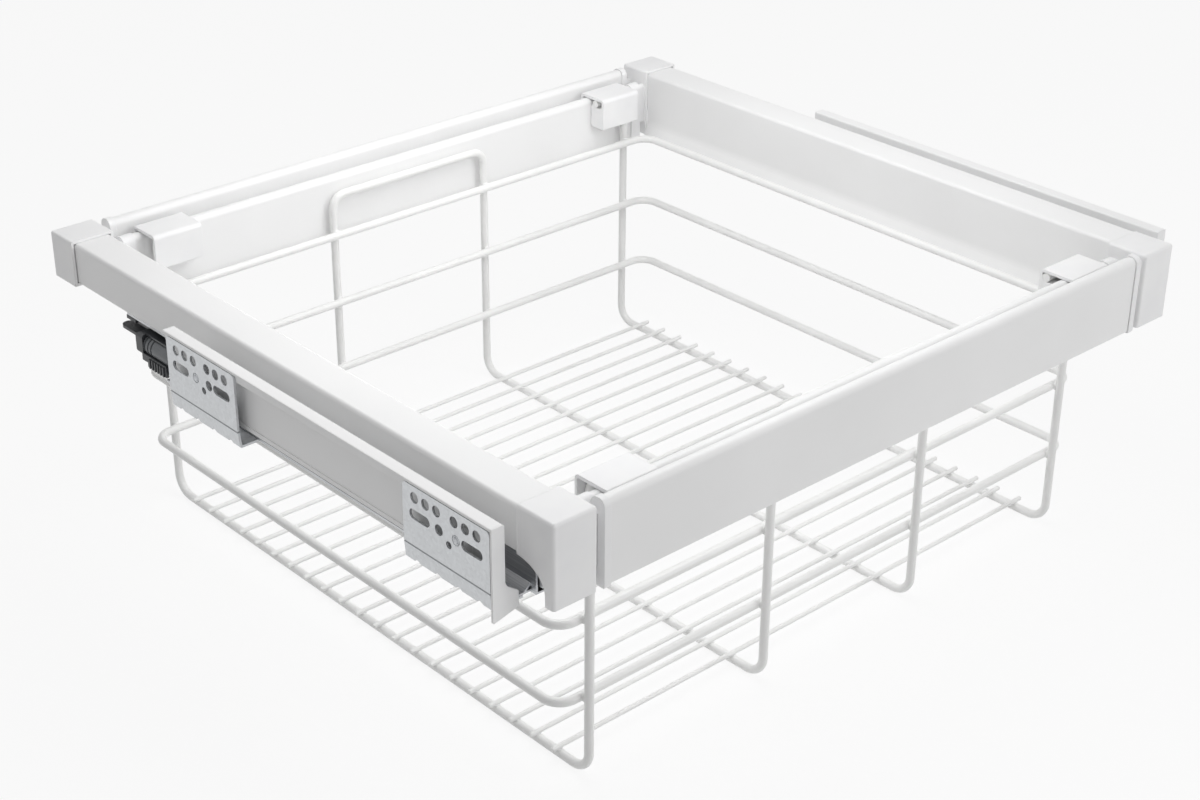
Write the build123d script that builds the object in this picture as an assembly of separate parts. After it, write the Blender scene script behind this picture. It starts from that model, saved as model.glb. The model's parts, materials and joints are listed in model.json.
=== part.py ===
from build123d import *
import os

# A wire basket that pulls out of a cabinet on two concealed runners.
# X runs to the right, Y to the back and Z up. All sizes are in millimetres.
# The origin lies under the middle of the frame, level with the underside of the basket.
# Pieces are drawn in corner places: from the frame's left side, front face and lower edge.
# Left-hand pieces are mirrored to make the right-hand ones.

# Frame, and its gap to the cabinet side
side_gap = 22.0
frame_width = 520.0
frame_depth = 483.0
frame_height = 50.0
basket_drop = 149.7

# Clearances
plug_play = 0.15
screw_play = 0.1
wire_play = 0.1
body_gap = 0.4
roller_play = 0.05
wall_share = 0.48

# Side rail, a hollow section whose inner wall runs on down beside the runner
rail_width = 25.8
rail_height = 26.6
rail_below_top = 0.7
rail_wall = 1.5
rail_top_radius = 2.5
rail_bottom_radius = 0.8
skirt_bottom = 0.8
skirt_bend_height = 10.5
skirt_bend_radius = 12.0
skirt_flare = 3.7
skirt_edge_radius = 0.5

# Front corner block, a moulding open below
block_width = 29.5
block_depth = 28.1
block_wall = 2.5
block_edge_radius = 2.0
block_skirt = 1.5
block_leg_depth = 6.5
block_leg_straight = 6.0
block_rib = 1.6
block_rib_drop = 11.0
spigot_length = 18.0

# Back corner cap, a sleeve over the rail's rear end
sleeve_depth = 25.7
sleeve_wall = 1.8
sleeve_side_room = 0.6
sleeve_end_wall = 2.0
sleeve_edge_radius = 1.5
sleeve_rib = 2.0
sleeve_leg_wall = 2.0

# Front and back panel section
panel_setback = 0.8
panel_outer_wall = 9.2
panel_groove = 7.0
panel_inner_wall = 8.5
panel_inner_height = 42.5
panel_groove_floor = 30.0
panel_sheet = 1.6
panel_corner_radius = 0.8
panel_outer_radius = 4.1
panel_inner_radius = 3.8
panel_gap = 4.5

# Panel end caps and the connectors inside them
end_cap_sheet = 0.7
end_cap_play = 0.1
end_cap_wall = 1.6
end_cap_length = 4.7
end_cap_inner_length = 9.0
connector_front = 5.5
connector_bottom = 11.0
connector_top = 41.0
connector_length = 24.0

# Basket clips
clip_start = 48.7
clip_length = 35.6
clip_wall = 2.0
clip_top_room = 0.3
clip_drop = 23.2
clip_hook = 10.0
clip_reach = 39.3
clip_edge_radius = 3.0
clip_hook_radius = 1.0
clip_inside_radius = 0.5
cradle_start = 14.0
cradle_radius = 4.0

# Basket wires
wire = 5.5
floor_wire = 3.0
weld_set = 0.3
basket_play = 4.0
side_frame_inset = 55.2
stub_bend = 7.0
bottom_bend = 13.0
loop_inset = 193.5
loop_below_top = 19.0
loop_bend = 10.0
ring_inset = 37.0
ring_bend = 12.0
ring_height = 150.8
ring_pitch = 50.5
ring_count = 3
floor_count = 21
floor_pitch = 18.4
floor_overhang = 5.4

# Runner members, pressed from sheet
runner_sheet = 1.2
roll_radius = 1.1
plate_sheet = 1.5
travel = 340.0
channel_start = 18.0
channel_side = 4.0
channel_width = 18.8
channel_height = 18.6
channel_lip = 3.0
channel_nose_radius = 5.0
heel_height = 5.3
foot_reach = 9.0
foot_start = 22.6
middle_start = 15.5
middle_length = 322.0
middle_side_gap = 0.8
middle_lip = 2.6
middle_end_inset = 5.5
drawer_foot_start = 22.0
drawer_foot_end_inset = 1.5
drawer_edge_height = 5.0
drawer_web_gap = 4.0
drawer_plate_end = 400.0
drawer_plate_inset = 0.4
hook_length = 8.0
hook_width = 2.0

# Rollers and their cages
roller = 3.0
roller_length = 7.5
roller_count = 8
roller_pitch = 27.0
cage_length = 220.0
cage_back_inset = 1.5
cage_skin_gap = 0.5
cage_side_gap = 1.0

# Mounting brackets
bracket_centres = (57.4, 281.4)
bracket_width = 70.0
bracket_top = 45.0
bracket_sheet = 1.5
bracket_crease = 9.0
bracket_crease_groove = 0.4
bracket_kick = 1.0
bracket_foot_end = -1.0
bracket_corner_radius = 3.0
bracket_crease_radius = 0.5
bracket_notch_radius = 3.2
bracket_notch_depth = 2.1
bracket_notch_pitch = 17.0
bracket_notch_count = 4
hole_radius = 3.2
hole_row_height = 38.4
hole_group_pitch = 32.0
hole_pitch = 9.0
slot_length = 16.8
slot_width = 6.0
slot_offset = 21.1
slot_row_height = 28.3
rivet_places = (-8.4, 5.25)
small_hole_radius = 2.2
small_hole_offset = -2.6
small_hole_height = 23.0

# Cover strip with its front end piece and its holders
strip_start = 22.0
strip_end = 319.6
strip_width = 8.4
strip_sheet = 1.4
strip_above_bracket = 0.6
strip_drop = 38.8
strip_bead = 0.6
strip_bead_height = 2.8
strip_bead_radius = 0.3
strip_rib = 5.0
strip_rib_sheet = 1.2
strip_edge_radius = 1.0
strip_small_radius = 0.6
strip_rib_radius = 0.3
strip_end_thickness = 1.2
strip_end_flare = 11.5
strip_end_slope = 6.0
strip_end_flare_radius = 6.0
strip_end_bottom = -8.0
strip_end_heel = 4.0
strip_end_tip = -5.0
holder_width = 8.0
holder_top = 33.0
holder_lip = 1.6

# Soft-close damper and its holder
damper_gap = 2.0
damper_length = 31.0
damper_radius = 6.5
damper_side = 1.5
damper_height = 10.0
damper_groove = 0.7
damper_groove_pitch = 3.6
damper_rod_radius = 1.5
damper_rod_length = 7.0
damper_head_radius = 2.2
damper_groove_count = 3
damper_chamfer = 0.8
damper_head = 3.0
damper_tongue_width = 15.0
saddle_inset = 4.0
saddle_length = 27.0
saddle_height = 6.0
saddle_side_wall = 1.6
saddle_lap = 0.4
saddle_rib_count = 6
saddle_rib_pitch = 3.0
saddle_rib_width = 1.5
saddle_rib_proud = 0.8
saddle_rib_top = 4.6
cup_length = 7.5
cup_lap = 1.5
cup_top = 18.0
cup_bottom = 4.0
cup_edge_radius = 2.5
lid_sheet = 1.2
lid_side = -2.0
tail_bottom = 12.6
tail_sheet = 2.0
tail_width = 8.0
tail_length = 22.7

# Screws and rivets
screw_radius = 1.9
screw_head_radius = 3.0
screw_head = 1.9
runner_screw_length = 9.5
runner_screw_side = 6.9
runner_screw_places = (60.0, 160.0, 260.0, 360.0)
corner_screw_radius = 1.5
corner_screw_height = 35.0
corner_screw_end = 47.0
flat_head = 0.5
rivet_radius = 1.8
rivet_head_radius = 3.0
rivet_head = 0.6
rivet_tail_head = 1.2
rivet_tail_depth = 1.8
rail_rivet_radius = 2.0
rail_rivet_head_radius = 3.4
rail_rivet_head = 0.8
rail_rivet_spread = 22.0
rail_rivet_side = -5.0

# Places that follow from the sizes above
rail_top = frame_height - rail_below_top
rail_bottom = rail_top - rail_height
rail_end = frame_depth - sleeve_end_wall - plug_play
sleeve_start = frame_depth - sleeve_depth
skirt_start = block_depth + body_gap
skirt_end = sleeve_start - body_gap
sleeve_outside = -sleeve_wall - sleeve_side_room
sleeve_inside = rail_width + plug_play + sleeve_wall
groove_front = panel_setback + panel_outer_wall
groove_back = groove_front + panel_groove
panel_back = groove_back + panel_inner_wall
panel_start = block_width + panel_gap
wire_radius = wire / 2
clip_under = panel_inner_height + clip_top_room
clip_top = clip_under + clip_wall
clip_leg = clip_reach - clip_wall
clip_end = clip_start + clip_length
stub_y = clip_leg - wire_play - wire_radius
stub_z = clip_under - wire_play - wire_radius
back_stub_y = frame_depth - stub_y + basket_play
basket_middle = (stub_y + back_stub_y) / 2
bottom_z = wire_radius - basket_drop
crossing = wire - weld_set
wall_x = -side_gap
bracket_inside = wall_x + bracket_sheet
channel_middle = channel_side + channel_width / 2
middle_end = middle_start + middle_length
channel_end = middle_end + middle_end_inset
middle_bottom = runner_sheet + roller + 2 * roller_play
drawer_foot_bottom = middle_bottom + runner_sheet + roller + 2 * roller_play
middle_side = channel_side + runner_sheet + middle_side_gap
middle_top = channel_height - runner_sheet - body_gap
drawer_edge_side = middle_side + runner_sheet + middle_side_gap
drawer_foot_end = middle_end - drawer_foot_end_inset
drawer_plate_start = block_depth + body_gap
drawer_plate_bottom = rail_bottom - plate_sheet
corner_screw_y = groove_back + panel_inner_wall / 2
strip_inside = wall_x + strip_width
strip_top = bracket_top + strip_above_bracket + strip_sheet
strip_bottom = strip_top - strip_drop
bead_side = strip_inside - strip_sheet - strip_bead
bead_top = strip_bottom + strip_bead_height
holder_inside = strip_inside - strip_sheet
rivet_tail = holder_inside - rivet_tail_depth
saddle_out = damper_side - damper_radius - saddle_lap
damper_start = channel_end + damper_gap
damper_end = damper_start + damper_length
saddle_start = damper_start + saddle_inset
cup_start = damper_end - cup_lap
cup_end = cup_start + cup_length
tail_end = cup_end + tail_length


def brick(x_span, y_span, z_span):
    size = Box(x_span[1] - x_span[0], y_span[1] - y_span[0], z_span[1] - z_span[0])
    return Pos(sum(x_span) / 2, sum(y_span) / 2, sum(z_span) / 2) * size


def along_x(points, radii, start, end):
    """A section of (y, z) points, drawn out along X."""
    path = FilletPolyline([(start, y, z) for y, z in points], radius=radii, close=True)
    return extrude(make_face(path), amount=end - start, dir=(1, 0, 0))


def along_y(points, radii, start, end):
    """A section of (x, z) points, drawn out along Y."""
    path = FilletPolyline([(x, start, z) for x, z in points], radius=radii, close=True)
    return extrude(make_face(path), amount=end - start, dir=(0, 1, 0))


def rod_x(radius, start, end, y, z):
    return Pos((start + end) / 2, y, z) * Rot(0, 90, 0) * Cylinder(radius, end - start)


def rod_y(radius, start, end, x, z):
    return Pos(x, (start + end) / 2, z) * Rot(90, 0, 0) * Cylinder(radius, end - start)


def rod_z(radius, start, end, x, y):
    return Pos(x, y, (start + end) / 2) * Cylinder(radius, end - start)


def rectangle(low_x, high_x, low_z, high_z):
    return [(low_x, low_z), (low_x, high_z), (high_x, high_z), (high_x, low_z)]


def rounding(radius, wall):
    """A corner radius, kept within the wall that it rounds."""
    return min(radius, wall_share * wall)


def bent_wire(points, bends, radius):
    """A round wire along straight runs joined by bends."""
    path = FilletPolyline(points, radius=bends)
    section = Plane(path @ 0, z_dir=path % 0) * Circle(radius)
    return sweep(section, path=path)


def flip_depth(shape):
    """The same piece at the other end of the frame's depth."""
    return mirror(shape, about=Plane.XZ.offset(-frame_depth / 2))


# Frame


def rail_skirt():
    """The rail's inner wall beside the runner, flared toward the basket at its foot."""
    top = rail_bottom + rail_wall
    bend = skirt_bend_height
    low = skirt_bottom
    face = rail_width
    back = rail_width - rail_wall
    points = [(face, top), (face, bend), (face + skirt_flare, low), (back + skirt_flare, low), (back, bend), (back, top)]
    edge = skirt_edge_radius
    radii = [0, skirt_bend_radius, edge, edge, skirt_bend_radius, 0]
    return along_y(points, radii, skirt_start, skirt_end)


def side_rail():
    radii = [rail_bottom_radius, rail_top_radius, rail_top_radius, rail_bottom_radius]
    start = block_depth
    outside = along_y(rectangle(0, rail_width, rail_bottom, rail_top), radii, start, rail_end)
    inner = rectangle(rail_wall, rail_width - rail_wall, rail_bottom + rail_wall, rail_top - rail_wall)
    inside = along_y(inner, rail_bottom_radius, start, rail_end)
    rail = outside - inside + rail_skirt()
    for y in runner_screw_places:
        for x in runner_screw_sides():
            rail -= rod_z(screw_radius + screw_play, rail_bottom, rail_bottom + rail_wall, x, y)
    hole = corner_screw_radius + screw_play
    return rail - rod_x(hole, 0, rail_width, frame_depth - corner_screw_y, corner_screw_height)


def block_cut_out():
    """The side of the block is cut away in a quarter ellipse that ends in a straight leg."""
    top = rail_bottom - block_skirt
    low = block_leg_straight
    centre = Vector(0, block_depth, low)
    reach = block_depth - block_leg_depth
    rise = top - low
    plane = Plane(origin=centre, x_dir=(0, 1, 0), z_dir=(1, 0, 0))
    oval = plane * Ellipse(reach, rise)
    curve = extrude(oval, amount=block_wall, dir=(1, 0, 0))
    curve &= brick((0, block_wall), (0, block_depth), (low, frame_height))
    below = brick((0, block_wall), (block_leg_depth, block_depth), (0, low))
    return curve + below


def front_block():
    block = brick((0, block_width), (0, block_depth), (0, frame_height))
    top_edges = block.edges().group_by(Axis.Z)[-1].sort_by(Axis.Y)[:-1]
    front_edges = block.edges().filter_by(Axis.Z).group_by(Axis.Y)[0]
    block = fillet(top_edges + front_edges, block_edge_radius)
    inner = (block_wall, block_width - block_wall)
    back_wall = block_depth - block_wall
    ceiling = frame_height - block_wall
    skirt = rail_bottom - block_skirt
    block -= brick(inner, (block_wall, back_wall), (0, ceiling))
    block -= brick(inner, (back_wall, block_depth), (0, skirt))
    block -= block_cut_out()
    middle = block_width / 2
    rib = (middle - block_rib / 2, middle + block_rib / 2)
    block += brick(rib, (block_wall, back_wall), (ceiling - block_rib_drop, ceiling))
    room = rail_wall + plug_play
    plug = rectangle(room, rail_width - room, rail_bottom + room, rail_top - room)
    spigot = along_y(plug, rail_bottom_radius, back_wall, block_depth + spigot_length)
    room += block_rib
    core = rectangle(room, rail_width - room, rail_bottom + room, rail_top - room)
    spigot -= along_y(core, rail_bottom_radius, back_wall + block_wall, block_depth + spigot_length)
    block += spigot
    hole = corner_screw_radius + screw_play
    return block - rod_x(hole, inner[1], block_width, corner_screw_y, corner_screw_height)


def back_sleeve():
    start = sleeve_start
    floor = rail_bottom - plug_play - sleeve_wall
    roof = rail_top + plug_play + sleeve_wall
    sleeve = brick((sleeve_outside, sleeve_inside), (start, frame_depth), (floor, roof))
    top_edges = sleeve.edges().group_by(Axis.Z)[-1].sort_by(Axis.Y)[1:]
    back_edges = sleeve.edges().filter_by(Axis.Z).group_by(Axis.Y)[-1]
    sleeve = fillet(top_edges + back_edges, sleeve_edge_radius)
    pocket_end = frame_depth - sleeve_end_wall
    pocket_x = (sleeve_outside + sleeve_wall, rail_width + plug_play)
    pocket_z = (rail_bottom - plug_play, rail_top + plug_play)
    sleeve -= brick(pocket_x, (start, pocket_end), pocket_z)
    rib_x = (pocket_x[0], -plug_play)
    for low in (pocket_z[0], pocket_z[1] - sleeve_rib):
        sleeve += brick(rib_x, (start + sleeve_rib, pocket_end), (low, low + sleeve_rib))
    leg = brick((sleeve_inside - sleeve_leg_wall, sleeve_inside), (start, frame_depth), (skirt_bottom, floor))
    sleeve += fillet(leg.edges().filter_by(Axis.Z).group_by(Axis.Y)[-1][-1], sleeve_edge_radius)
    y = frame_depth - corner_screw_y
    hole = corner_screw_radius + screw_play
    return sleeve - rod_x(hole, rail_width, sleeve_inside, y, corner_screw_height)


def panel_section(grow, start, end):
    """The panel's outline, grown outward or shrunk inward, drawn out along X."""
    low = -grow
    high = frame_height + grow
    step = panel_inner_height + grow
    floor = panel_groove_floor + grow
    outer = (panel_setback - grow, groove_front + grow)
    inner = (groove_back - grow, panel_back + grow)
    points = [(outer[0], low), (outer[0], high), (outer[1], high), (outer[1], floor)]
    points += [(inner[0], floor), (inner[0], step), (inner[1], step), (inner[1], low)]
    tall = rounding(panel_outer_radius + grow, outer[1] - outer[0])
    short = rounding(panel_inner_radius + grow, inner[1] - inner[0])
    corner = panel_corner_radius
    radii = [corner, tall, tall, corner, corner, short, short, corner]
    return along_x(points, radii, start, end)


def connector_band(play, start, end):
    """The depth and height that a connector fills inside the panel."""
    depth = (connector_front - play, panel_back)
    return brick((start, end), depth, (connector_bottom - play, connector_top + play))


def panel():
    start = panel_start + end_cap_wall
    end = frame_width - start
    return panel_section(0, start, end) - panel_section(-panel_sheet, start, end)


def panel_end_cap():
    start = panel_start
    seam = start + end_cap_length
    far = start + end_cap_inner_length
    skin = end_cap_play + end_cap_sheet
    middle = (groove_front + groove_back) / 2
    near_wall = brick((seam, far), (-skin, middle), (-skin, frame_height + skin))
    cap = panel_section(skin, start, far) - near_wall
    cap -= panel_section(end_cap_play, start + end_cap_wall, far)
    opening = panel_section(-panel_sheet, start, start + end_cap_wall)
    return cap - (opening & connector_band(plug_play, start, start + end_cap_wall))


def connector(start):
    """A moulded plug that bridges the gap from a corner, at start, into the panel."""
    end = panel_start + connector_length
    plug = panel_section(-panel_sheet - plug_play, start, end) & connector_band(0, start, end)
    hole = corner_screw_radius + screw_play
    return plug - rod_x(hole, start, corner_screw_end + screw_play, corner_screw_y, corner_screw_height)


# Basket


def clip():
    hook_in = groove_back - body_gap
    hook_out = hook_in - clip_wall
    bottom = clip_top - clip_drop
    outer = [(hook_out, clip_top - clip_hook), (hook_out, clip_top), (clip_reach, clip_top), (clip_reach, bottom)]
    inner = [(clip_leg, bottom), (clip_leg, clip_under), (hook_in, clip_under), (hook_in, clip_top - clip_hook)]
    radii = [0, clip_hook_radius, clip_edge_radius, 0, 0, clip_hook_radius, clip_inside_radius, 0]
    shell = along_x(outer + inner, radii, clip_start, clip_end)
    near = panel_back + body_gap
    cradle = [(near, bottom), (near, stub_z), (clip_leg, stub_z), (clip_leg, bottom)]
    cradle_radii = [clip_wall, cradle_radius, 0, 0]
    seat = along_x(cradle, cradle_radii, clip_start + cradle_start, clip_end)
    room = wire_radius + wire_play
    for y in (stub_y, stub_y - basket_play):
        seat -= rod_x(room, clip_start, clip_end, y, stub_z)
    seat -= brick((clip_start, clip_end), (stub_y - basket_play, stub_y), (stub_z - room, stub_z + room))
    return shell + seat


def side_frame():
    x = side_frame_inset
    back = back_stub_y
    points = [(clip_end, stub_y, stub_z), (x, stub_y, stub_z), (x, stub_y, bottom_z)]
    points += [(x, back, bottom_z), (x, back, stub_z), (clip_end, back, stub_z)]
    return bent_wire(points, [stub_bend, bottom_bend, bottom_bend, stub_bend], wire_radius)


def middle_loop():
    """Half of the loop, from the middle of its front bar to the middle of its back bar."""
    x = loop_inset
    middle = frame_width / 2
    back = back_stub_y
    top = frame_height - loop_below_top
    points = [(middle, stub_y, top), (x, stub_y, top), (x, stub_y, bottom_z)]
    points += [(x, back, bottom_z), (x, back, top), (middle, back, top)]
    half = bent_wire(points, [loop_bend, bottom_bend, bottom_bend, loop_bend], wire_radius)
    other = mirror(half, about=Plane.YZ.offset(middle))
    return half + other


def ring(z):
    front = stub_y + crossing
    back = back_stub_y - crossing
    left = ring_inset
    right = frame_width - left
    middle = frame_width / 2
    points = [(middle, back, z), (left, back, z), (left, front, z), (middle, front, z)]
    half = bent_wire(points, ring_bend, wire_radius)
    other = mirror(half, about=Plane.YZ.offset((left + right) / 2))
    return half + other


def floor_wires():
    """Cross wires on top of the bottom runs of the side frames and the loop."""
    z = bottom_z + wire_radius + floor_wire / 2 - weld_set
    start = side_frame_inset - floor_overhang
    first = basket_middle - floor_pitch * (floor_count - 1) / 2
    places = [first + floor_pitch * i for i in range(floor_count)]
    return [rod_x(floor_wire / 2, start, frame_width - start, y, z) for y in places]


# Runner


def runner_screw_sides():
    return (runner_screw_side, 2 * channel_middle - runner_screw_side)


def mirrored_pair(shape):
    """A piece beside the channel's outer web, and its copy beside the inner web."""
    return shape + mirror(shape, about=Plane.YZ.offset(channel_middle))


def channel_nose():
    """What is rounded off the upper front corner of the channel's webs."""
    radius = channel_nose_radius
    across = (channel_side, channel_side + channel_width)
    corner = brick(across, (channel_start, channel_start + radius), (channel_height - radius, channel_height))
    return corner - rod_x(radius, *across, channel_start + radius, channel_height - radius)


def channel_heel():
    """A sloping sheet that braces the channel's outer web against its foot."""
    side = channel_side
    rise = heel_height
    outer = [(side, 0), (side, rise), (side - rise, 0)]
    inner_rise = rise - runner_sheet * 2**0.5
    inner_reach = inner_rise - runner_sheet
    inner = [(side, runner_sheet), (side, inner_rise), (side - inner_reach, runner_sheet)]
    heel = along_y(outer, 0, foot_start, channel_end)
    return heel - along_y(inner, 0, foot_start, channel_end)


def cabinet_rail():
    start = channel_start
    end = channel_end
    side = channel_side
    web = brick((side, side + runner_sheet), (start, end), (0, channel_height))
    lip_z = (channel_height - runner_sheet, channel_height)
    lip = brick((side, side + runner_sheet + channel_lip), (start, end), lip_z)
    web = fillet((web + lip).edges().filter_by(Axis.Y).group_by(Axis.Z)[-1][0], roll_radius)
    rail = mirrored_pair(web)
    floor_z = (0, runner_sheet)
    rail += brick((side, side + channel_width), (start, end), floor_z)
    rail += brick((-foot_reach, side), (foot_start, end), floor_z)
    rail += channel_heel()
    rail -= channel_nose()
    tongue_start = saddle_out + saddle_side_wall + plug_play
    rail += brick((tongue_start, tongue_start + damper_tongue_width), (end, damper_end), floor_z)
    for x, y in rail_rivet_points():
        rail -= rod_z(rail_rivet_radius + screw_play, 0, runner_sheet, x, y)
    return rail


def middle_rail():
    start = middle_start
    end = middle_end
    side = middle_side
    bottom = middle_bottom
    web = brick((side, side + runner_sheet), (start, end), (bottom, middle_top))
    web += brick((side, side + runner_sheet + middle_lip), (start, end), (middle_top - runner_sheet, middle_top))
    rail = mirrored_pair(web)
    floor_x = (side, 2 * channel_middle - side)
    return rail + brick(floor_x, (start, end), (bottom, bottom + runner_sheet))


def drawer_rail():
    start = drawer_foot_start
    end = drawer_foot_end
    bottom = drawer_foot_bottom
    side = drawer_edge_side
    edge = brick((side, side + runner_sheet), (start, end), (bottom, bottom + drawer_edge_height))
    web_x = channel_middle - drawer_web_gap / 2
    edge += brick((web_x - runner_sheet, web_x), (start, end), (bottom, drawer_plate_bottom))
    rail = mirrored_pair(edge)
    foot_x = (side, 2 * channel_middle - side)
    rail += brick(foot_x, (start, end), (bottom, bottom + runner_sheet))
    plate_x = (drawer_plate_inset, rail_width - rail_wall - drawer_plate_inset)
    plate_y = (drawer_plate_start, drawer_plate_end)
    rail += brick(plate_x, plate_y, (drawer_plate_bottom, rail_bottom))
    hook_z = (channel_height + body_gap, drawer_plate_bottom)
    hook_x = (drawer_plate_inset, drawer_plate_inset + hook_width)
    rail += brick(hook_x, (drawer_plate_end - hook_length, drawer_plate_end), hook_z)
    for y in runner_screw_places:
        for x in runner_screw_sides():
            rail -= rod_z(screw_radius + screw_play, drawer_plate_bottom, rail_bottom, x, y)
    return rail


def cage_places(back):
    """Where the rollers of a cage lie, counted forward from the cage's back end."""
    last = back - (cage_length - roller_pitch * (roller_count - 1)) / 2
    return [last - roller_pitch * i for i in range(roller_count)]


def cage(bottom, half_width, back):
    """A flat strip with a pocket for each roller."""
    height = roller + 2 * roller_play
    skin = (bottom + cage_skin_gap, bottom + height - cage_skin_gap)
    sides = (channel_middle - half_width, channel_middle + half_width)
    strip = brick(sides, (back - cage_length, back), skin)
    pocket_x = (channel_middle - roller_length / 2 - wire_play, channel_middle + roller_length / 2 + wire_play)
    reach = roller / 2 + wire_play
    for y in cage_places(back):
        strip -= brick(pocket_x, (y - reach, y + reach), skin)
    return strip


def rollers(bottom, back):
    z = bottom + roller_play + roller / 2
    start = channel_middle - roller_length / 2
    return [rod_x(roller / 2, start, start + roller_length, y, z) for y in cage_places(back)]


def outer_cage_back():
    return middle_end - cage_back_inset


def inner_cage_back():
    return drawer_foot_end - cage_back_inset


# Brackets and cover strip


def rail_rivet_points():
    points = []
    for centre in bracket_centres:
        for side in (-1, 1):
            points.append((rail_rivet_side, centre + side * rail_rivet_spread))
    return points


def hole_offsets():
    """Two groups of three holes on the bracket, each group one system pitch from the other."""
    offsets = []
    for group in (-hole_group_pitch / 2, hole_group_pitch / 2):
        offsets += [group - hole_pitch, group, group + hole_pitch]
    return offsets


def bracket(centre, rivet_place):
    half = bracket_width / 2
    out = wall_x
    kick = out + bracket_kick
    foot = -bracket_sheet
    groove = bracket_crease_groove
    points = [(out, bracket_top), (out, bracket_crease + groove), (out + groove, bracket_crease)]
    points += [(out, bracket_crease - groove), (kick, foot), (bracket_foot_end, foot)]
    inner_kick = kick + bracket_sheet
    points += [(bracket_foot_end, 0), (inner_kick, 0), (bracket_inside, bracket_crease), (bracket_inside, bracket_top)]
    radii = [0, 0, 0, 0, bracket_sheet, 0, 0, bracket_crease_radius, 0, 0]
    body = along_y(points, radii, centre - half, centre + half)
    upper = body.edges().filter_by(Axis.X).group_by(Axis.Z)[-1]
    body = fillet(upper, bracket_corner_radius)
    deep = (out, bracket_inside)
    for offset in hole_offsets():
        body -= rod_x(hole_radius, *deep, centre + offset, hole_row_height)
    for side in (-1, 1):
        y = centre + side * slot_offset
        run = (slot_length - slot_width) / 2
        body -= brick(deep, (y - run, y + run), (slot_row_height - slot_width / 2, slot_row_height + slot_width / 2))
        for end in (y - run, y + run):
            body -= rod_x(slot_width / 2, *deep, end, slot_row_height)
    body -= rod_x(small_hole_radius, *deep, centre + small_hole_offset, small_hole_height)
    for place in rivet_places:
        if place != rivet_place:
            body -= rod_x(hole_radius, *deep, centre + place, slot_row_height)
    y = centre + rivet_place
    body -= rod_x(rivet_radius + screw_play, *deep, y, slot_row_height)
    body -= rod_x(rivet_head_radius + screw_play, out, out + rivet_head, y, slot_row_height)
    notch_z = foot + bracket_notch_depth - bracket_notch_radius
    for i in range(bracket_notch_count):
        y = centre + (i - (bracket_notch_count - 1) / 2) * bracket_notch_pitch
        body -= rod_x(bracket_notch_radius, out, inner_kick + bracket_sheet, y, notch_z)
    for x, y in rail_rivet_points():
        body -= rod_z(rail_rivet_radius + screw_play, foot, 0, x, y)
    return body


def bracket_rivet(y):
    """A flush rivet from the bracket's outer face into the strip's holder."""
    z = slot_row_height
    rivet = rod_x(rivet_head_radius, wall_x, wall_x + rivet_head, y, z)
    rivet += rod_x(rivet_radius, wall_x + rivet_head, rivet_tail, y, z)
    return rivet + rod_x(rivet_head_radius, rivet_tail, rivet_tail + rivet_tail_head, y, z)


def rail_rivet(x, y):
    """A rivet that joins the bracket's foot and the cabinet rail."""
    foot = -bracket_sheet
    rivet = rod_z(rail_rivet_radius, foot, runner_sheet, x, y)
    rivet += rod_z(rail_rivet_head_radius, foot - rail_rivet_head, foot, x, y)
    return rivet + rod_z(rail_rivet_head_radius, runner_sheet, runner_sheet + rail_rivet_head, x, y)


def cover_strip():
    """A flange over the brackets, a web with a beaded foot and a rib that grips the brackets."""
    rib_x = bracket_inside + plug_play
    under = strip_top - strip_sheet
    points = [(wall_x, under), (wall_x, strip_top), (strip_inside, strip_top), (strip_inside, strip_bottom)]
    points += [(bead_side, strip_bottom), (bead_side, bead_top), (holder_inside, bead_top), (holder_inside, under)]
    points += [(rib_x + strip_rib_sheet, under), (rib_x + strip_rib_sheet, under - strip_rib)]
    points += [(rib_x, under - strip_rib), (rib_x, under)]
    small = strip_small_radius
    rib = strip_rib_radius
    bead = strip_bead_radius
    radii = [0, small, strip_edge_radius, small, bead, bead, 0, rib, rib, 0, 0, rib]
    return along_y(points, radii, strip_start, strip_end)


def strip_end_piece():
    """The white piece that closes the strip's front end, flared inward at its foot."""
    top = strip_top
    points = [(wall_x, strip_end_bottom), (wall_x, top), (strip_inside, top), (strip_inside, strip_end_flare)]
    shoulder = strip_end_flare - strip_end_slope
    heel = strip_end_bottom + strip_end_heel
    points += [(strip_end_tip, shoulder), (strip_end_tip, heel)]
    edge = strip_edge_radius
    radii = [edge, strip_small_radius, edge, strip_end_flare_radius, edge, edge]
    return along_y(points, radii, strip_start - strip_end_thickness, strip_start)


def strip_holder(centre, y):
    """A spacer between the bracket and the strip, with a lip under the strip's web."""
    lip_top = strip_bottom - plug_play
    step = bead_top + plug_play
    foot_side = bracket_inside + bracket_kick
    span = (centre - holder_width / 2, centre + holder_width / 2)
    holder = brick((bracket_inside, holder_inside), span, (step, holder_top))
    holder += brick((foot_side, bead_side - plug_play), span, (lip_top, step))
    holder += brick((foot_side, strip_inside), span, (lip_top - holder_lip, lip_top))
    holder -= rod_x(rivet_radius + screw_play, bracket_inside, rivet_tail, y, slot_row_height)
    room = rivet_head_radius + 2 * screw_play
    return holder - rod_x(room, rivet_tail, holder_inside, y, slot_row_height)


# Damper


def damper():
    end = damper_end
    body = rod_y(damper_radius, damper_start, end, damper_side, damper_height)
    body = chamfer(body.edges().filter_by(GeomType.CIRCLE), damper_chamfer)
    for i in range(damper_groove_count):
        start = end - damper_groove_pitch * (i + 1)
        groove = rod_y(damper_radius, start, start + 2 * damper_groove, damper_side, damper_height)
        groove -= rod_y(damper_radius - damper_groove, start, start + 2 * damper_groove, damper_side, damper_height)
        body -= groove
    rod_start = damper_start - damper_rod_length
    body += rod_y(damper_rod_radius, rod_start, damper_start, damper_side, damper_height)
    head_start = rod_start - damper_head
    return body + rod_y(damper_head_radius, head_start, rod_start, damper_side, damper_height)


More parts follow.
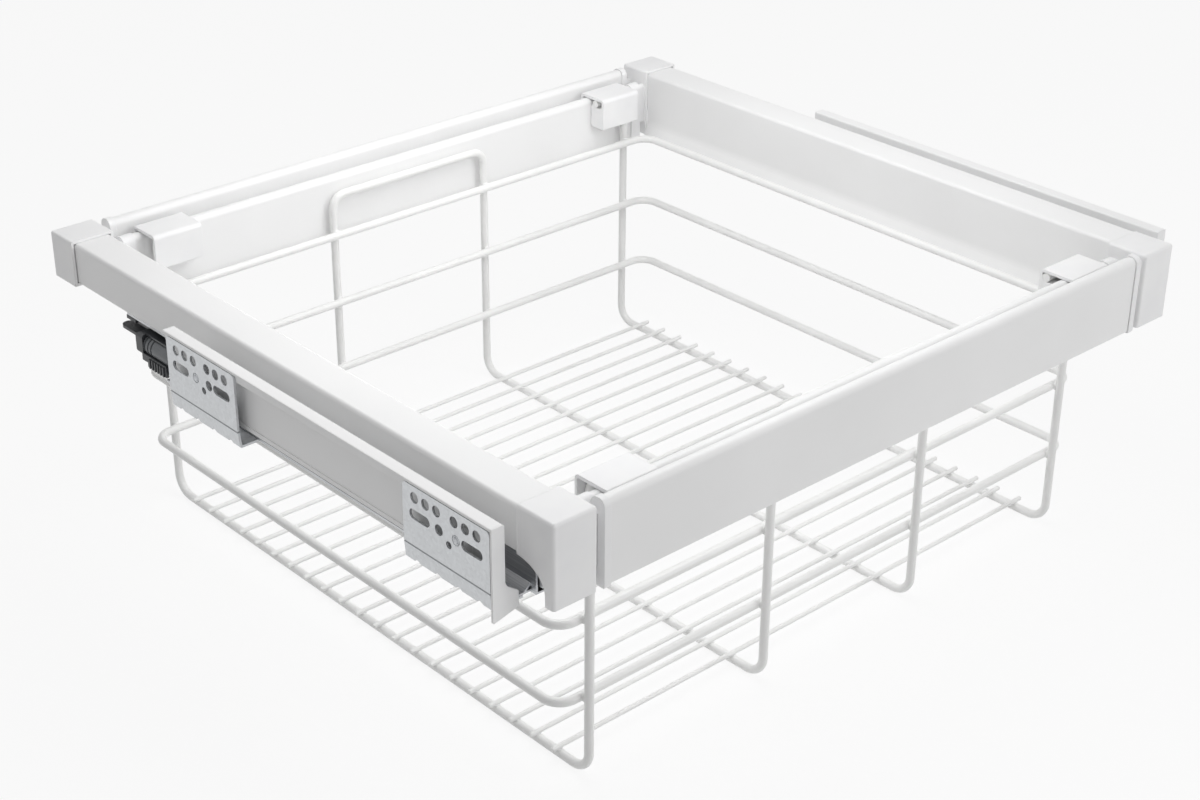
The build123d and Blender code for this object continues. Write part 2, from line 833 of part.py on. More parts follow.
def damper_holder():
    """A saddle under the cylinder, with a ribbed plate over the rail tongue's outer edge."""
    y_span = (saddle_start, saddle_start + saddle_length)
    out = saddle_out
    wide = 2 * (damper_side - out)
    saddle = brick((out, out + wide), y_span, (runner_sheet, saddle_height))
    plate_end = saddle_start + saddle_rib_pitch * (saddle_rib_count + 1)
    plate = brick((out, out + saddle_side_wall), (saddle_start, plate_end), (-saddle_side_wall, runner_sheet))
    saddle += plate
    for i in range(saddle_rib_count):
        y = saddle_start + saddle_rib_pitch * (i + 1)
        rib_y = (y - saddle_rib_width / 2, y + saddle_rib_width / 2)
        saddle += brick((out - saddle_rib_proud, out), rib_y, (-saddle_side_wall, saddle_rib_top))
    saddle += damper_cup()
    return saddle - rod_y(damper_radius + plug_play, saddle_start, damper_end + plug_play, damper_side, damper_height)


def damper_cup():
    """The holder's rear part: a cup behind the cylinder, a lid over it and a rounded tail."""
    out = saddle_out
    across = (out, 2 * damper_side - out)
    cup = brick(across, (cup_start, cup_end), (cup_bottom, cup_top))
    cup = fillet(cup.edges().filter_by(Axis.Y) + cup.edges().group_by(Axis.Y)[-1].filter_by(Axis.X), cup_edge_radius)
    cup += brick((lid_side, across[1]), (saddle_start, cup_start), (cup_top - lid_sheet, cup_top))
    middle = damper_side
    half = tail_width / 2
    tail_z = (tail_bottom, tail_bottom + tail_sheet)
    tail = brick((middle - half, middle + half), (cup_end, tail_end - half), tail_z)
    return cup + tail + rod_z(half, *tail_z, middle, tail_end - half)


# Screws


def runner_screw(x, y):
    """A screw from under the drawer rail's plate up into the side rail."""
    plate = drawer_plate_bottom
    screw = rod_z(screw_radius, plate, plate + runner_screw_length, x, y)
    return screw + rod_z(screw_head_radius, plate - screw_head, plate, x, y)


def corner_screw(seat, head, y):
    """A screw through a corner into its connector. Its head bears on the face at seat."""
    screw = rod_x(corner_screw_radius, seat, corner_screw_end, y, corner_screw_height)
    return screw + rod_x(screw_head_radius, seat - head, seat, y, corner_screw_height)


# Writing the pieces


def place(shape):
    return Pos(-frame_width / 2, -frame_depth / 2, basket_drop) * shape


def save(name, shapes):
    """One file for each named piece. A group of like pieces keeps its separate solids."""
    shapes = shapes if isinstance(shapes, list) else [shapes]
    solids = [solid for shape in shapes for solid in place(shape).solids()]
    whole = solids[0] if len(solids) == 1 else Compound(solids)
    export_step(whole, "parts/" + name + ".step")


def other_side(shapes):
    if isinstance(shapes, list):
        return [other_side(shape) for shape in shapes]
    return mirror(shapes, about=Plane.YZ.offset(frame_width / 2))


def save_pair(name, shapes):
    save(name + "_left", shapes)
    save(name + "_right", other_side(shapes))


def write_frame():
    save_pair("side_rail", side_rail())
    save_pair("front_corner_block", front_block())
    save_pair("back_corner_cap", back_sleeve())
    whole_panel = panel()
    save("front_panel", whole_panel)
    save("back_panel", flip_depth(whole_panel))
    end_cap = panel_end_cap()
    save_pair("front_panel_end_cap", end_cap)
    save_pair("back_panel_end_cap", flip_depth(end_cap))
    save_pair("front_panel_connector", connector(block_width))
    save_pair("back_panel_connector", flip_depth(connector(sleeve_inside)))
    front = corner_screw(block_width - block_wall, screw_head, corner_screw_y)
    back = corner_screw(0, flat_head, frame_depth - corner_screw_y)
    save("front_corner_screws", [front, other_side(front)])
    save("back_corner_screws", [back, other_side(back)])


def write_basket():
    whole_clip = clip()
    save_pair("front_basket_clip", whole_clip)
    save_pair("back_basket_clip", flip_depth(whole_clip))
    save_pair("basket_side_frame", side_frame())
    save("basket_middle_loop", middle_loop())
    for index, name in enumerate(("lower", "middle", "upper")[-ring_count:]):
        z = bottom_z + ring_height - ring_pitch * (ring_count - 1 - index)
        save("basket_ring_" + name, ring(z))
    save("basket_floor_wires", floor_wires())


def write_runners():
    save_pair("cabinet_rail", cabinet_rail())
    save_pair("middle_rail", middle_rail())
    save_pair("drawer_rail", drawer_rail())
    outer_half = channel_width / 2 - runner_sheet - cage_side_gap
    inner_half = outer_half - runner_sheet - cage_side_gap
    inner_bottom = middle_bottom + runner_sheet
    save_pair("outer_roller_cage", cage(runner_sheet, outer_half, outer_cage_back()))
    save_pair("outer_rollers", rollers(runner_sheet, outer_cage_back()))
    save_pair("inner_roller_cage", cage(inner_bottom, inner_half, inner_cage_back()))
    save_pair("inner_rollers", rollers(inner_bottom, inner_cage_back()))
    save_pair("damper", damper())
    save_pair("damper_holder", damper_holder())
    points = [(x, y) for y in runner_screw_places for x in runner_screw_sides()]
    screws = [runner_screw(x, y) for x, y in points]
    save("runner_screws", screws + other_side(screws))


def write_brackets():
    holders = []
    rivets = []
    for index, name in enumerate(("front", "rear")):
        centre = bracket_centres[index]
        rivet_place = rivet_places[index]
        save_pair(name + "_mounting_bracket", bracket(centre, rivet_place))
        holders.append(strip_holder(centre + rivet_place, centre + rivet_place))
        rivets.append(bracket_rivet(centre + rivet_place))
    rail_rivets = [rail_rivet(x, y) for x, y in rail_rivet_points()]
    save("cover_strip_holders", holders + other_side(holders))
    save("bracket_rivets", rivets + other_side(rivets))
    save("rail_rivets", rail_rivets + other_side(rail_rivets))
    save_pair("cover_strip", cover_strip())
    save_pair("cover_strip_end", strip_end_piece())


os.makedirs("parts", exist_ok=True)
write_frame()
write_basket()
write_runners()
write_brackets()
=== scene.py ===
import json
import math

import bmesh
import bpy
from mathutils import Matrix, Vector, noise


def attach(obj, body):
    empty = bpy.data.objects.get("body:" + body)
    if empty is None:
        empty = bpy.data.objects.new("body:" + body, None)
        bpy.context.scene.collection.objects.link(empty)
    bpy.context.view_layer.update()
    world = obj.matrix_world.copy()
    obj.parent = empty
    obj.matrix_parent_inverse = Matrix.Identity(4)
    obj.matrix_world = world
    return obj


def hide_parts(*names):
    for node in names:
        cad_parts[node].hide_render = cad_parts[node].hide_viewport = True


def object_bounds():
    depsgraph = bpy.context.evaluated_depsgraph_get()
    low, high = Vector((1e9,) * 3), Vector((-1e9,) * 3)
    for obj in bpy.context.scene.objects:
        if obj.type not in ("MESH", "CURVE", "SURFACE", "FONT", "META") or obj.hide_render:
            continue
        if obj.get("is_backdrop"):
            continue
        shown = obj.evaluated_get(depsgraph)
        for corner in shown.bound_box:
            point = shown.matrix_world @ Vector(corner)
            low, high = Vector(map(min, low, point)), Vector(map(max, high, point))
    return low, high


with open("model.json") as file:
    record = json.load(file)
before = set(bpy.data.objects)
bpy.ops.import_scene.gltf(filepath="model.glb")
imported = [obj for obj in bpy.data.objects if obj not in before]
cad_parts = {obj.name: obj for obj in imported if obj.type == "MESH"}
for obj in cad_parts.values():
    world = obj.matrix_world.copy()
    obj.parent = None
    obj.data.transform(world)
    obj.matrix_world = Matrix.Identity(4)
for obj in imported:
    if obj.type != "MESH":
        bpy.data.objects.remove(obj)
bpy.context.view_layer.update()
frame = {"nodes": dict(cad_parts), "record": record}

# Pull-out wire basket: white coated wire in a white frame, on zinc-plated runners.
# The solids come from the frame. This script gives them their finishes and adds the weld beads,
# the coated wire ends, the sunk rivets, the runner tails, the corner rims, the stage, lights and camera.

nodes = frame["nodes"]
mmPerMetre = 1000.0

# Places are given in millimetres from the frame's left side, front face and lower edge.
framePlace = {"halfWidth": 260.0, "halfDepth": 241.5, "basketDrop": 149.7}


def place(x, y, z):
    moved = (x - framePlace["halfWidth"], y - framePlace["halfDepth"], z + framePlace["basketDrop"])
    return Vector(moved) / mmPerMetre


def onSide(x, mirrored):
    # the same place on the left side of the frame, or mirrored to the right
    return 2.0 * framePlace["halfWidth"] - x if mirrored else x


def toLinear(hexColour):
    parts = [int(hexColour[i:i + 2], 16) / 255.0 for i in (1, 3, 5)]
    linear = [c / 12.92 if c <= 0.04045 else ((c + 0.055) / 1.055) ** 2.4 for c in parts]
    return (*linear, 1.0)


def addNode(tree, kind, settings=None, links=None):
    node = tree.nodes.new(kind)
    for name, value in (settings or {}).items():
        if isinstance(name, str) and hasattr(node, name):
            setattr(node, name, value)
        else:
            node.inputs[name].default_value = value
    for name, source in (links or {}).items():
        tree.links.new(source, node.inputs[name])
    return node


def newMaterial(name, surface):
    material = bpy.data.materials.new(name)
    material.use_nodes = True
    tree = material.node_tree
    tree.nodes.clear()
    shader = addNode(tree, "ShaderNodeBsdfPrincipled", surface)
    output = addNode(tree, "ShaderNodeOutputMaterial")
    tree.links.new(shader.outputs["BSDF"], output.inputs["Surface"])
    return material, tree, shader


# A noise pattern keeps nearly all of its values inside this span.
patternSpan = (0.3, 0.7)
reliefDetail = {"grainOctaves": 2.0, "edgeSamples": 6}


def spreadPattern(tree, shader, pattern, finish, span=patternSpan):
    # one pattern varies the gloss and the colour together, and the colour is handed back
    ramp = addNode(tree, "ShaderNodeValToRGB", links={"Fac": pattern})
    for element, position, colour in zip(ramp.color_ramp.elements, span, (finish["dark"], finish["light"])):
        element.position = position
        element.color = toLinear(colour)
    sheen = [finish["roughness"] + change for change in finish["roughnessSpread"]]
    gloss = addNode(tree, "ShaderNodeMapRange",
                    {"From Min": patternSpan[0], "From Max": patternSpan[1],
                     "To Min": sheen[0], "To Max": sheen[1]},
                    {"Value": pattern})
    tree.links.new(gloss.outputs["Result"], shader.inputs["Roughness"])
    return ramp.outputs["Color"]


def raiseRelief(tree, shader, height, finish):
    # the relief lies over the small radius that a press tool, a mould or a coat leaves on an edge
    edge = addNode(tree, "ShaderNodeBevel",
                   {"samples": reliefDetail["edgeSamples"], "Radius": finish["edgeMm"] / mmPerMetre})
    bump = addNode(tree, "ShaderNodeBump",
                   {"Strength": 1.0, "Distance": finish["depthMm"] / mmPerMetre},
                   {"Height": height, "Normal": edge.outputs["Normal"]})
    tree.links.new(bump.outputs["Normal"], shader.inputs["Normal"])


def raiseGrain(tree, shader, coordinates, finish):
    grain = addNode(tree, "ShaderNodeTexNoise",
                    {"Scale": mmPerMetre / finish["grainMm"], "Detail": reliefDetail["grainOctaves"]},
                    {"Vector": coordinates})
    raiseRelief(tree, shader, grain.outputs["Fac"], finish)


def makeCloudedFinish(name, finish):
    # a coat or a moulding: wide soft clouds in tone and gloss under a fine relief
    material, tree, shader = newMaterial(name, {"IOR": finish["ior"], "Roughness": finish["roughness"]})
    coordinates = addNode(tree, "ShaderNodeTexCoord").outputs["Object"]
    cloud = addNode(tree, "ShaderNodeTexNoise",
                    {"Scale": mmPerMetre / finish["cloudMm"], "Detail": finish["cloudOctaves"]},
                    {"Vector": coordinates}).outputs["Fac"]
    tree.links.new(spreadPattern(tree, shader, cloud, finish), shader.inputs["Base Color"])
    raiseGrain(tree, shader, coordinates, finish)
    return material


# Polyamide-coated steel wire, dipped: a smooth thick coat that is glossier than the frame.
# Its grain is the slow ripple that the coat sets in.
wireCoat = {
    "light": "#F6F6F5",
    "dark": "#EFEFEE",
    "ior": 1.53,
    "roughness": 0.34,
    "roughnessSpread": (-0.04, 0.06),
    "cloudMm": 45.0,
    "cloudOctaves": 3.0,
    "grainMm": 6.0,
    "depthMm": 0.05,
    "edgeMm": 0.4,
}

# Polyester powder coat on extruded aluminium: even satin with a faint orange peel.
powderCoat = {
    "light": "#F7F7F7",
    "dark": "#F2F2F2",
    "ior": 1.5,
    "roughness": 0.42,
    "roughnessSpread": (-0.04, 0.04),
    "cloudMm": 90.0,
    "cloudOctaves": 2.0,
    "grainMm": 1.6,
    "depthMm": 0.012,
    "edgeMm": 0.4,
}

# ABS, injection moulded in a spark-eroded tool: a fine dull grain, a touch whiter than the coat.
# The real grain is about 0.1 mm, too fine to show, and is drawn coarser.
mouldedAbs = {
    "light": "#F8F8F8",
    "dark": "#F3F3F4",
    "ior": 1.54,
    "roughness": 0.5,
    "roughnessSpread": (-0.04, 0.04),
    "cloudMm": 25.0,
    "cloudOctaves": 2.0,
    "grainMm": 0.7,
    "depthMm": 0.02,
    "edgeMm": 0.6,
}

# Hot-dip galvanised sheet, pressed: zinc spangles a millimetre or two wide under a dull bloom.
# The bloom's grain is drawn coarser than the real one, so that it shows.
galvanised = {
    "light": "#D0D2D4",
    "dark": "#C2C4C6",
    "roughness": 0.48,
    "roughnessSpread": (-0.04, 0.08),
    "spangleMm": 1.6,
    "spangleSpan": (0.0, 1.0),
    "grainMm": 0.6,
    "depthMm": 0.01,
    "edgeMm": 0.25,
    # the crease entries set a thin band of painted shade along each bracket's press line
    "creaseHeight": 9.0,
    "creaseShadeHalfMm": 0.55,
    "creaseShadeTone": "#8E9092",
}


def makeGalvanisedSteel():
    surface = {"Metallic": 1.0, "Roughness": galvanised["roughness"]}
    material, tree, shader = newMaterial("GalvanisedSheet", surface)
    coordinates = addNode(tree, "ShaderNodeTexCoord").outputs["Object"]
    spangle = addNode(tree, "ShaderNodeTexVoronoi", {"Scale": mmPerMetre / galvanised["spangleMm"]},
                      {"Vector": coordinates}).outputs["Color"]
    tone = addNode(tree, "ShaderNodeSeparateColor", links={"Color": spangle}).outputs["Red"]
    sheet = spreadPattern(tree, shader, tone, galvanised, galvanised["spangleSpan"])
    # painted shade: a thin darker band along the press line across each bracket stands in for the shade in the
    # crease
    height = addNode(tree, "ShaderNodeSeparateXYZ", links={"Vector": coordinates}).outputs["Z"]
    crease = (galvanised["creaseHeight"] + framePlace["basketDrop"]) / mmPerMetre
    inCreaseShade = addNode(tree, "ShaderNodeMath",
                       {"operation": "COMPARE", 1: crease, 2: galvanised["creaseShadeHalfMm"] / mmPerMetre},
                       {0: height}).outputs[0]
    shade = addNode(tree, "ShaderNodeMix", {"data_type": "RGBA", 7: toLinear(galvanised["creaseShadeTone"])},
                    {"Factor": inCreaseShade, 6: sheet})
    tree.links.new(shade.outputs[2], shader.inputs["Base Color"])
    raiseGrain(tree, shader, coordinates, galvanised)
    return material


# Zinc-plated strip, roll formed: long faint draw lines from the rolls run front to back.
# The lines are drawn wider than the real ones, which are too fine to show.
zincPlate = {
    "light": "#CDCED0",
    "dark": "#ABADB0",
    "roughness": 0.36,
    "roughnessSpread": (-0.05, 0.07),
    "lineMm": 0.8,
    "lineOctaves": 3.0,
    "stretch": 60.0,
    "depthMm": 0.006,
    "edgeMm": 0.2,
}
groundRollers = {**zincPlate, "light": "#D8D9DB", "dark": "#C4C6C9", "roughness": 0.22}
platedScrews = {**zincPlate, "light": "#CFD0D2", "dark": "#B7B9BC", "roughness": 0.34}
plainRivets = {**zincPlate, "light": "#C6C8CA", "dark": "#B1B3B6", "roughness": 0.4}


def makeZincPlate(name, finish):
    material, tree, shader = newMaterial(name, {"Metallic": 1.0, "Roughness": finish["roughness"]})
    coordinates = addNode(tree, "ShaderNodeTexCoord").outputs["Object"]
    drawn = addNode(tree, "ShaderNodeMapping", {"Scale": (1.0, 1.0 / finish["stretch"], 1.0)},
                    {"Vector": coordinates}).outputs["Vector"]
    lines = addNode(tree, "ShaderNodeTexNoise",
                    {"Scale": mmPerMetre / finish["lineMm"], "Detail": finish["lineOctaves"]},
                    {"Vector": drawn}).outputs["Fac"]
    tree.links.new(spreadPattern(tree, shader, lines, finish), shader.inputs["Base Color"])
    raiseRelief(tree, shader, lines, finish)
    return material


# Moulded plastics of the runner: natural acetal roller cages, dark grey ABS dampers, and near-black
# nylon holders with a slight gloss. Their grain is drawn coarser than the real one, so that it shows.
runnerPlastic = {
    "ior": 1.5,
    "roughnessSpread": (-0.04, 0.05),
    "cloudMm": 12.0,
    "cloudOctaves": 2.0,
    "grainMm": 0.5,
    "depthMm": 0.015,
    "edgeMm": 0.3,
}
acetalCages = {**runnerPlastic, "light": "#E6E5DF", "dark": "#DCDBD5", "roughness": 0.45}
greyDamper = {**runnerPlastic, "light": "#6E7174", "dark": "#606366", "roughness": 0.36}
blackHolder = {**runnerPlastic, "light": "#3A3C3F", "dark": "#2E3033", "roughness": 0.34}

finishes = {
    "wire_coating": makeCloudedFinish("PolyamideCoatedWire", wireCoat),
    "white_frame": makeCloudedFinish("PowderCoatedAluminium", powderCoat),
    "white_moulding": makeCloudedFinish("MouldedWhiteAbs", mouldedAbs),
    "galvanised_steel": makeGalvanisedSteel(),
    "runner_steel": makeZincPlate("ZincPlatedStrip", zincPlate),
    "roller_steel": makeZincPlate("GroundSteelRollers", groundRollers),
    "screw_steel": makeZincPlate("ZincPlatedScrews", platedScrews),
    "rivet_steel": makeZincPlate("PlainSteelRivets", plainRivets),
    "cage_plastic": makeCloudedFinish("NaturalAcetalCages", acetalCages),
    "damper_grey": makeCloudedFinish("GreyAbsDamper", greyDamper),
    "holder_black": makeCloudedFinish("BlackNylonHolder", blackHolder),
}
slotOfNode = {part["node"]: part["material_slot"] for part in frame["record"]["subparts"]}


def dressNodes():
    for name, node in nodes.items():
        material = finishes[slotOfNode[name]]
        if not node.material_slots:
            node.data.materials.append(material)
        for slot in node.material_slots:
            slot.material = material


dressNodes()
print("finishes given to", len(nodes), "nodes")

# Where the welded wires cross, the coat runs together into a small bead.
basketWires = {
    "uprights": (55.2, 193.5, 326.5, 464.8),
    "rings": (3.85, -46.65, -97.15),
    "frontCrossing": 37.05,
    "backCrossing": 449.95,
    "floorCrossing": -144.35,
    "floorFirst": 59.5,
    "floorPitch": 18.4,
    "floorCount": 21,
    "floorEnds": (49.8, 470.2),
    "floorHeight": -143.0,
}
weldBead = {
    "ringSize": (3.1, 1.5, 3.1),
    "floorSize": (2.6, 1.75, 0.9),
    "unevenness": 0.12,
    "lumpsPerMetre": 400.0,
}
wireTip = {"radius": 1.5, "length": 0.9}


def addBlob(mesh, centre, size, unevenness=0.0, subdivisions=2):
    scaled = Matrix.Diagonal((*[s / mmPerMetre for s in size], 1.0))
    made = bmesh.ops.create_icosphere(mesh, subdivisions=subdivisions, radius=1.0,
                                      matrix=Matrix.Translation(centre) @ scaled)
    for vert in made["verts"]:
        wobble = noise.noise(vert.co * weldBead["lumpsPerMetre"]) * unevenness
        vert.co += (vert.co - centre) * wobble


def addPiece(mesh, name, body, slot):
    data = bpy.data.meshes.new(name)
    mesh.to_mesh(data)
    mesh.free()
    piece = bpy.data.objects.new(name, data)
    bpy.context.scene.collection.objects.link(piece)
    for polygon in data.polygons:
        polygon.use_smooth = True
    data.materials.append(finishes[slot])
    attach(piece, body)
    return piece


def floorWirePlaces():
    return [basketWires["floorFirst"] + basketWires["floorPitch"] * i for i in range(basketWires["floorCount"])]


def makeWeldBeads():
    mesh = bmesh.new()
    for x in basketWires["uprights"]:
        for z in basketWires["rings"]:
            for y in (basketWires["frontCrossing"], basketWires["backCrossing"]):
                addBlob(mesh, place(x, y, z), weldBead["ringSize"], weldBead["unevenness"])
        for y in floorWirePlaces():
            crossing = place(x, y, basketWires["floorCrossing"])
            addBlob(mesh, crossing, weldBead["floorSize"], weldBead["unevenness"])
    addPiece(mesh, "weldBeads", "basket", "wire_coating")


def makeWireTips():
    mesh = bmesh.new()
    size = (wireTip["length"], wireTip["radius"], wireTip["radius"])
    for y in floorWirePlaces():
        for x in basketWires["floorEnds"]:
            addBlob(mesh, place(x, y, basketWires["floorHeight"]), size)
    addPiece(mesh, "floorWireTips", "basket", "wire_coating")


makeWeldBeads()
makeWireTips()
print("weld beads and wire ends made")

# The brackets' rivets are sunk in the plate. Each has a dished mouth inside a rim with a rolled edge.
# The outline runs from the middle of the mouth over the rim and back, as (depth, radius).
bracketRivet = {
    "places": (49.0, 286.65),
    "height": 28.3,
    "faces": ((-22.0, 1), (542.0, -1)),
    "segments": 40,
    "sharpDegrees": 30.0,
    "outline": ((1.3, 0.0), (1.3, 1.3), (0.35, 1.9), (0.0, 2.1), (0.0, 2.45), (0.6, 2.7), (0.6, 1.8),
                (5.2, 1.8), (5.2, 3.0), (6.4, 3.0), (6.4, 0.0)),
}


def addLathe(mesh, outline, face, inward, segments):
    # turns the outline about the X axis, starting from the face and going inward
    rings = []
    for depth, radius in outline:
        turns = [2.0 * math.pi * i / segments for i in range(segments if radius else 1)]
        offsets = [(inward * depth, radius * math.cos(a), radius * math.sin(a)) for a in turns]
        rings.append([mesh.verts.new(face + Vector(offset) / mmPerMetre) for offset in offsets])
    for near, far in zip(rings, rings[1:]):
        for i in range(segments):
            j = (i + 1) % segments
            corners = (near[i % len(near)], near[j % len(near)], far[j % len(far)], far[i % len(far)])
            mesh.faces.new(list(dict.fromkeys(corners)))


def makeBracketRivets():
    mesh = bmesh.new()
    for faceSide, inward in bracketRivet["faces"]:
        for y in bracketRivet["places"]:
            face = place(faceSide, y, bracketRivet["height"])
            addLathe(mesh, bracketRivet["outline"], face, inward, bracketRivet["segments"])
    bmesh.ops.recalc_face_normals(mesh, faces=mesh.faces[:])
    rivets = addPiece(mesh, "tubularBracketRivets", "cabinet_sides", "rivet_steel")
    rivets.data.set_sharp_from_angle(angle=math.radians(bracketRivet["sharpDegrees"]))
    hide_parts("bracket_rivets")


makeBracketRivets()
print("bracket rivets made")

# A moulding carries the drawer rail on to the rear, in the gap between side rail and damper, and caps the
# rail's hook.
# Its near-black colour and its reach down into the gap are painted shade, for the shade under the rail and on
# the hook's edge.
# Each section is given as (x, z), with the depths that it runs between.
paintedShadeRunnerTail = {
    "sections": (
        (((10.2, 21.2), (11.2, 21.2), (11.2, 9.6), (15.6, 9.6), (15.6, 21.2), (16.6, 21.2), (16.6, 8.6),
          (10.2, 8.6)), (335.5, 410.0)),
        (((0.1, 21.2), (2.7, 21.2), (2.7, 18.7), (0.1, 18.7)), (390.0, 400.5)),
    ),
    "edgeMm": 0.2,
    "edgeSteps": 2,
    "sharpDegrees": 40.0,
}


def skinRings(mesh, rings):
    # walls from each ring to the next, and a face over each end
    for near, far in zip(rings, rings[1:]):
        for i in range(len(near)):
            j = (i + 1) % len(near)
            mesh.faces.new((near[i], near[j], far[j], far[i]))
    for ring in (rings[0], rings[-1]):
        mesh.faces.new(ring)


def makePaintedShadeRunnerTails():
    mesh = bmesh.new()
    for section, depths in paintedShadeRunnerTail["sections"]:
        for mirrored in (False, True):
            outline = [(onSide(x, mirrored), z) for x, z in section]
            rings = [[mesh.verts.new(place(x, y, z)) for x, z in outline] for y in depths]
            skinRings(mesh, rings)
    bmesh.ops.recalc_face_normals(mesh, faces=mesh.faces[:])
    bmesh.ops.bevel(mesh, geom=mesh.edges[:], offset=paintedShadeRunnerTail["edgeMm"] / mmPerMetre,
                    segments=paintedShadeRunnerTail["edgeSteps"], affect="EDGES")
    # the near-black holder finish on the tails is painted shade for the gap under the rail and the shadowed
    # edge of the hook
    tails = addPiece(mesh, "paintedShadeRunnerTails", "drawer", "holder_black")
    tails.data.set_sharp_from_angle(angle=math.radians(paintedShadeRunnerTail["sharpDegrees"]))


makePaintedShadeRunnerTails()
print("runner tails made")

# Where a front corner block meets its side rail, the moulding ends in a thin rim that catches the light.
# The rim's profile is given as (along the rail, out of the face).
cornerRim = {
    "depth": 27.5,
    "profile": ((-0.65, -0.15), (-0.3, 0.42), (0.1, 0.5), (0.45, -0.3)),
    "proudOnTop": 0.1,
    "radius": 2.0,
    "foot": 23.0,
    "top": 50.0,
    "reach": 25.0,
    "turns": 6,
    "sharpDegrees": 50.0,
}


def rimPath():
    # up the outer face, round the upper edge and in over the top, as (x, z, outward x, outward z, how proud)
    radius, top, onTop = cornerRim["radius"], cornerRim["top"], cornerRim["proudOnTop"]
    path = [(0.0, cornerRim["foot"], -1.0, 0.0, 1.0)]
    for i in range(cornerRim["turns"] + 1):
        a = math.pi / 2.0 * i / cornerRim["turns"]
        proud = 1.0 + (onTop - 1.0) * i / cornerRim["turns"]
        x = radius - radius * math.cos(a)
        z = top - radius + radius * math.sin(a)
        path.append((x, z, -math.cos(a), math.sin(a), proud))
    return path + [(cornerRim["reach"], top, 0.0, 1.0, onTop)]


def makeCornerRims():
    mesh = bmesh.new()
    for mirrored in (False, True):
        rings = []
        for x, z, outX, outZ, proud in rimPath():
            ring = []
            for along, out in cornerRim["profile"]:
                out = out * proud if out > 0.0 else out
                side = onSide(x + outX * out, mirrored)
                ring.append(mesh.verts.new(place(side, cornerRim["depth"] + along, z + outZ * out)))
            rings.append(ring)
        skinRings(mesh, rings)
    bmesh.ops.recalc_face_normals(mesh, faces=mesh.faces[:])
    rims = addPiece(mesh, "cornerBlockRims", "drawer", "white_frame")
    rims.data.set_sharp_from_angle(angle=math.radians(cornerRim["sharpDegrees"]))


makeCornerRims()
print("corner rims made")

# A white floor and a white surround. The floor shows white to the camera but keeps a soft shadow.
stage = {
    "floorSize": 12.0,
    "floorDrop": 0.0005,
    "floorColour": "#F4F4F4",
    "floorRoughness": 0.9,
    "floorSpecular": 0.1,
    "floorLift": 0.88,
    "floorGlow": "#FFFFFF",
}


def seenDirectly(tree):
    # 1 for what the camera sees straight, in a reflection or through something clear, 0 for diffuse light
    path = addNode(tree, "ShaderNodeLightPath")
    clear = addNode(tree, "ShaderNodeMath", {"operation": "MAXIMUM"},
                    {0: path.outputs["Is Glossy Ray"], 1: path.outputs["Is Transmission Ray"]})
    seen = addNode(tree, "ShaderNodeMath", {"operation": "MAXIMUM"},
                   {0: path.outputs["Is Camera Ray"], 1: clear.outputs[0]})
    return seen.outputs[0]


def makeFloor():
    mesh = bmesh.new()
    bmesh.ops.create_grid(mesh, x_segments=1, y_segments=1, size=stage["floorSize"] / 2.0)
    data = bpy.data.meshes.new("studioFloor")
    mesh.to_mesh(data)
    mesh.free()
    floor = bpy.data.objects.new("studioFloor", data)
    floor.location = (0.0, 0.0, -stage["floorDrop"])
    bpy.context.scene.collection.objects.link(floor)
    material, tree, shader = newMaterial("StudioPaper", {"Base Color": toLinear(stage["floorColour"]),
                                                         "Roughness": stage["floorRoughness"],
                                                         "Specular IOR Level": stage["floorSpecular"]})
    share = addNode(tree, "ShaderNodeMath", {"operation": "MULTIPLY", 1: stage["floorLift"]},
                    {0: seenDirectly(tree)})
    glow = addNode(tree, "ShaderNodeEmission", {"Color": toLinear(stage["floorGlow"]), "Strength": 1.0})
    mixed = addNode(tree, "ShaderNodeMixShader", links={0: share.outputs[0], 1: shader.outputs["BSDF"],
                                                        2: glow.outputs["Emission"]})
    output = next(n for n in tree.nodes if n.type == "OUTPUT_MATERIAL")
    tree.links.new(mixed.outputs["Shader"], output.inputs["Surface"])
    data.materials.append(material)
    floor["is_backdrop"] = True


# The surround lights the object softly and shows as plain white behind it.
surround = {"colour": (1, 1, 1, 1), "lightStrength": 0.36, "seenStrength": 1.0}


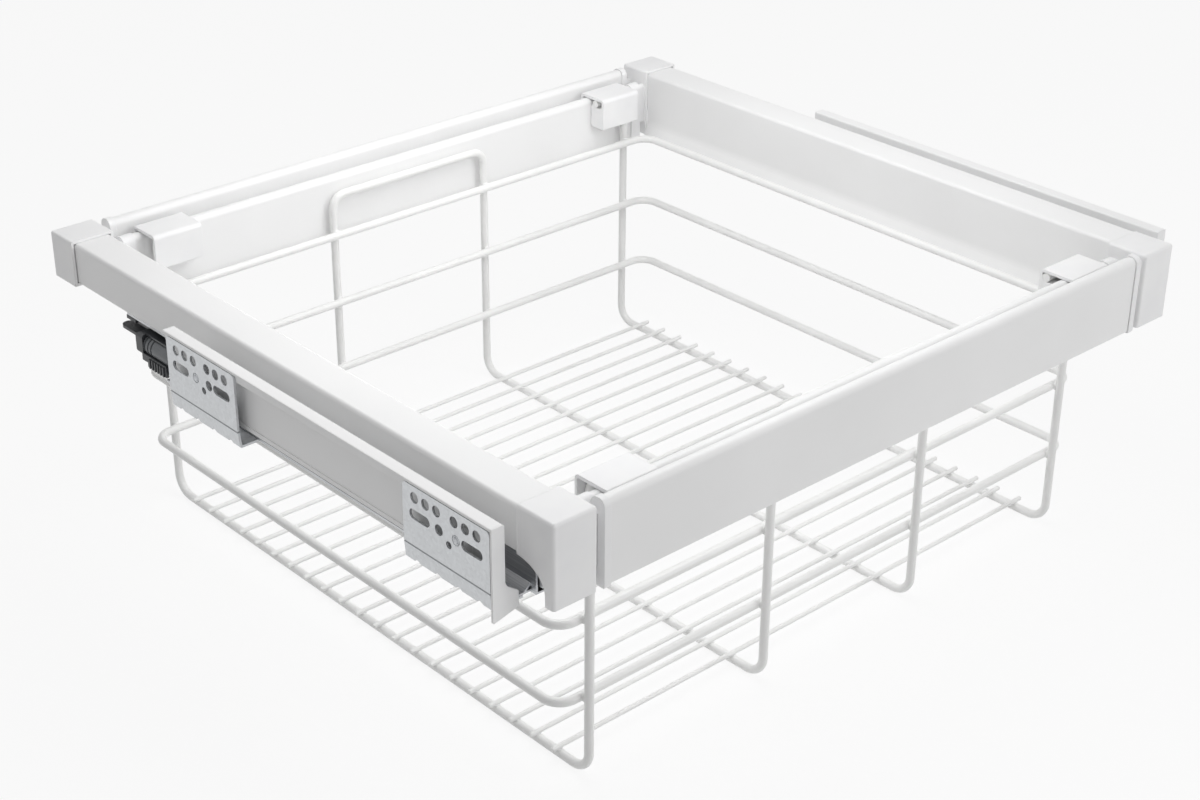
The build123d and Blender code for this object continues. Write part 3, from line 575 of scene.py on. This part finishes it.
def makeSurround():
    world = bpy.data.worlds.new("studioSurround")
    bpy.context.scene.world = world
    world.use_nodes = True
    tree = world.node_tree
    tree.nodes.clear()
    lit = addNode(tree, "ShaderNodeBackground",
                  {"Color": surround["colour"], "Strength": surround["lightStrength"]})
    white = addNode(tree, "ShaderNodeBackground",
                    {"Color": surround["colour"], "Strength": surround["seenStrength"]})
    mixed = addNode(tree, "ShaderNodeMixShader", links={0: seenDirectly(tree), 1: lit.outputs["Background"],
                                                        2: white.outputs["Background"]})
    output = addNode(tree, "ShaderNodeOutputWorld")
    tree.links.new(mixed.outputs["Shader"], output.inputs["Surface"])


# Square softboxes, all turned to the middle of the object: places and sizes in metres, power in watts.
softboxes = {
    "softboxNear": {"place": (0.0, 0.0, 0.45), "size": 0.38, "power": 0.9},
    "softboxOverhead": {"place": (0.0, 0.2, 2.2), "size": 2.4, "power": 8.5},
    "softboxLeft": {"place": (-2.4, 0.0, 1.2), "size": 1.8, "power": 0.8},
    "softboxFront": {"place": (0.9, -1.9, 1.0), "size": 1.2, "power": 12.3},
}


def makeSoftboxes():
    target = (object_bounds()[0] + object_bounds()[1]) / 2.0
    for name, box in softboxes.items():
        data = bpy.data.lights.new(name, "AREA")
        data.shape = "SQUARE"
        data.size = box["size"]
        data.energy = box["power"]
        lamp = bpy.data.objects.new(name, data)
        lamp.location = box["place"]
        lamp.rotation_euler = (target - lamp.location).to_track_quat("-Z", "Y").to_euler()
        lamp.visible_camera = False
        bpy.context.scene.collection.objects.link(lamp)


makeFloor()
makeSurround()
makeSoftboxes()
bpy.context.scene.view_settings.view_transform = "Standard"
print("stage and lights made")

# The photograph's camera, in front of the left corner and above the frame: metres, degrees, millimetres.
cameraView = {
    "place": (-0.83745, -0.9082, 0.7331),
    "turn": (62.2555, -0.3656, -42.1523),
    "lens": 63.54,
    "sensorWidth": 36.0,
}


def makeCamera():
    data = bpy.data.cameras.new("photoCamera")
    data.sensor_width = cameraView["sensorWidth"]
    data.lens = cameraView["lens"]
    camera = bpy.data.objects.new("photoCamera", data)
    camera.location = cameraView["place"]
    camera.rotation_euler = [math.radians(a) for a in cameraView["turn"]]
    bpy.context.scene.collection.objects.link(camera)
    bpy.context.scene.camera = camera


makeCamera()
print("camera set")
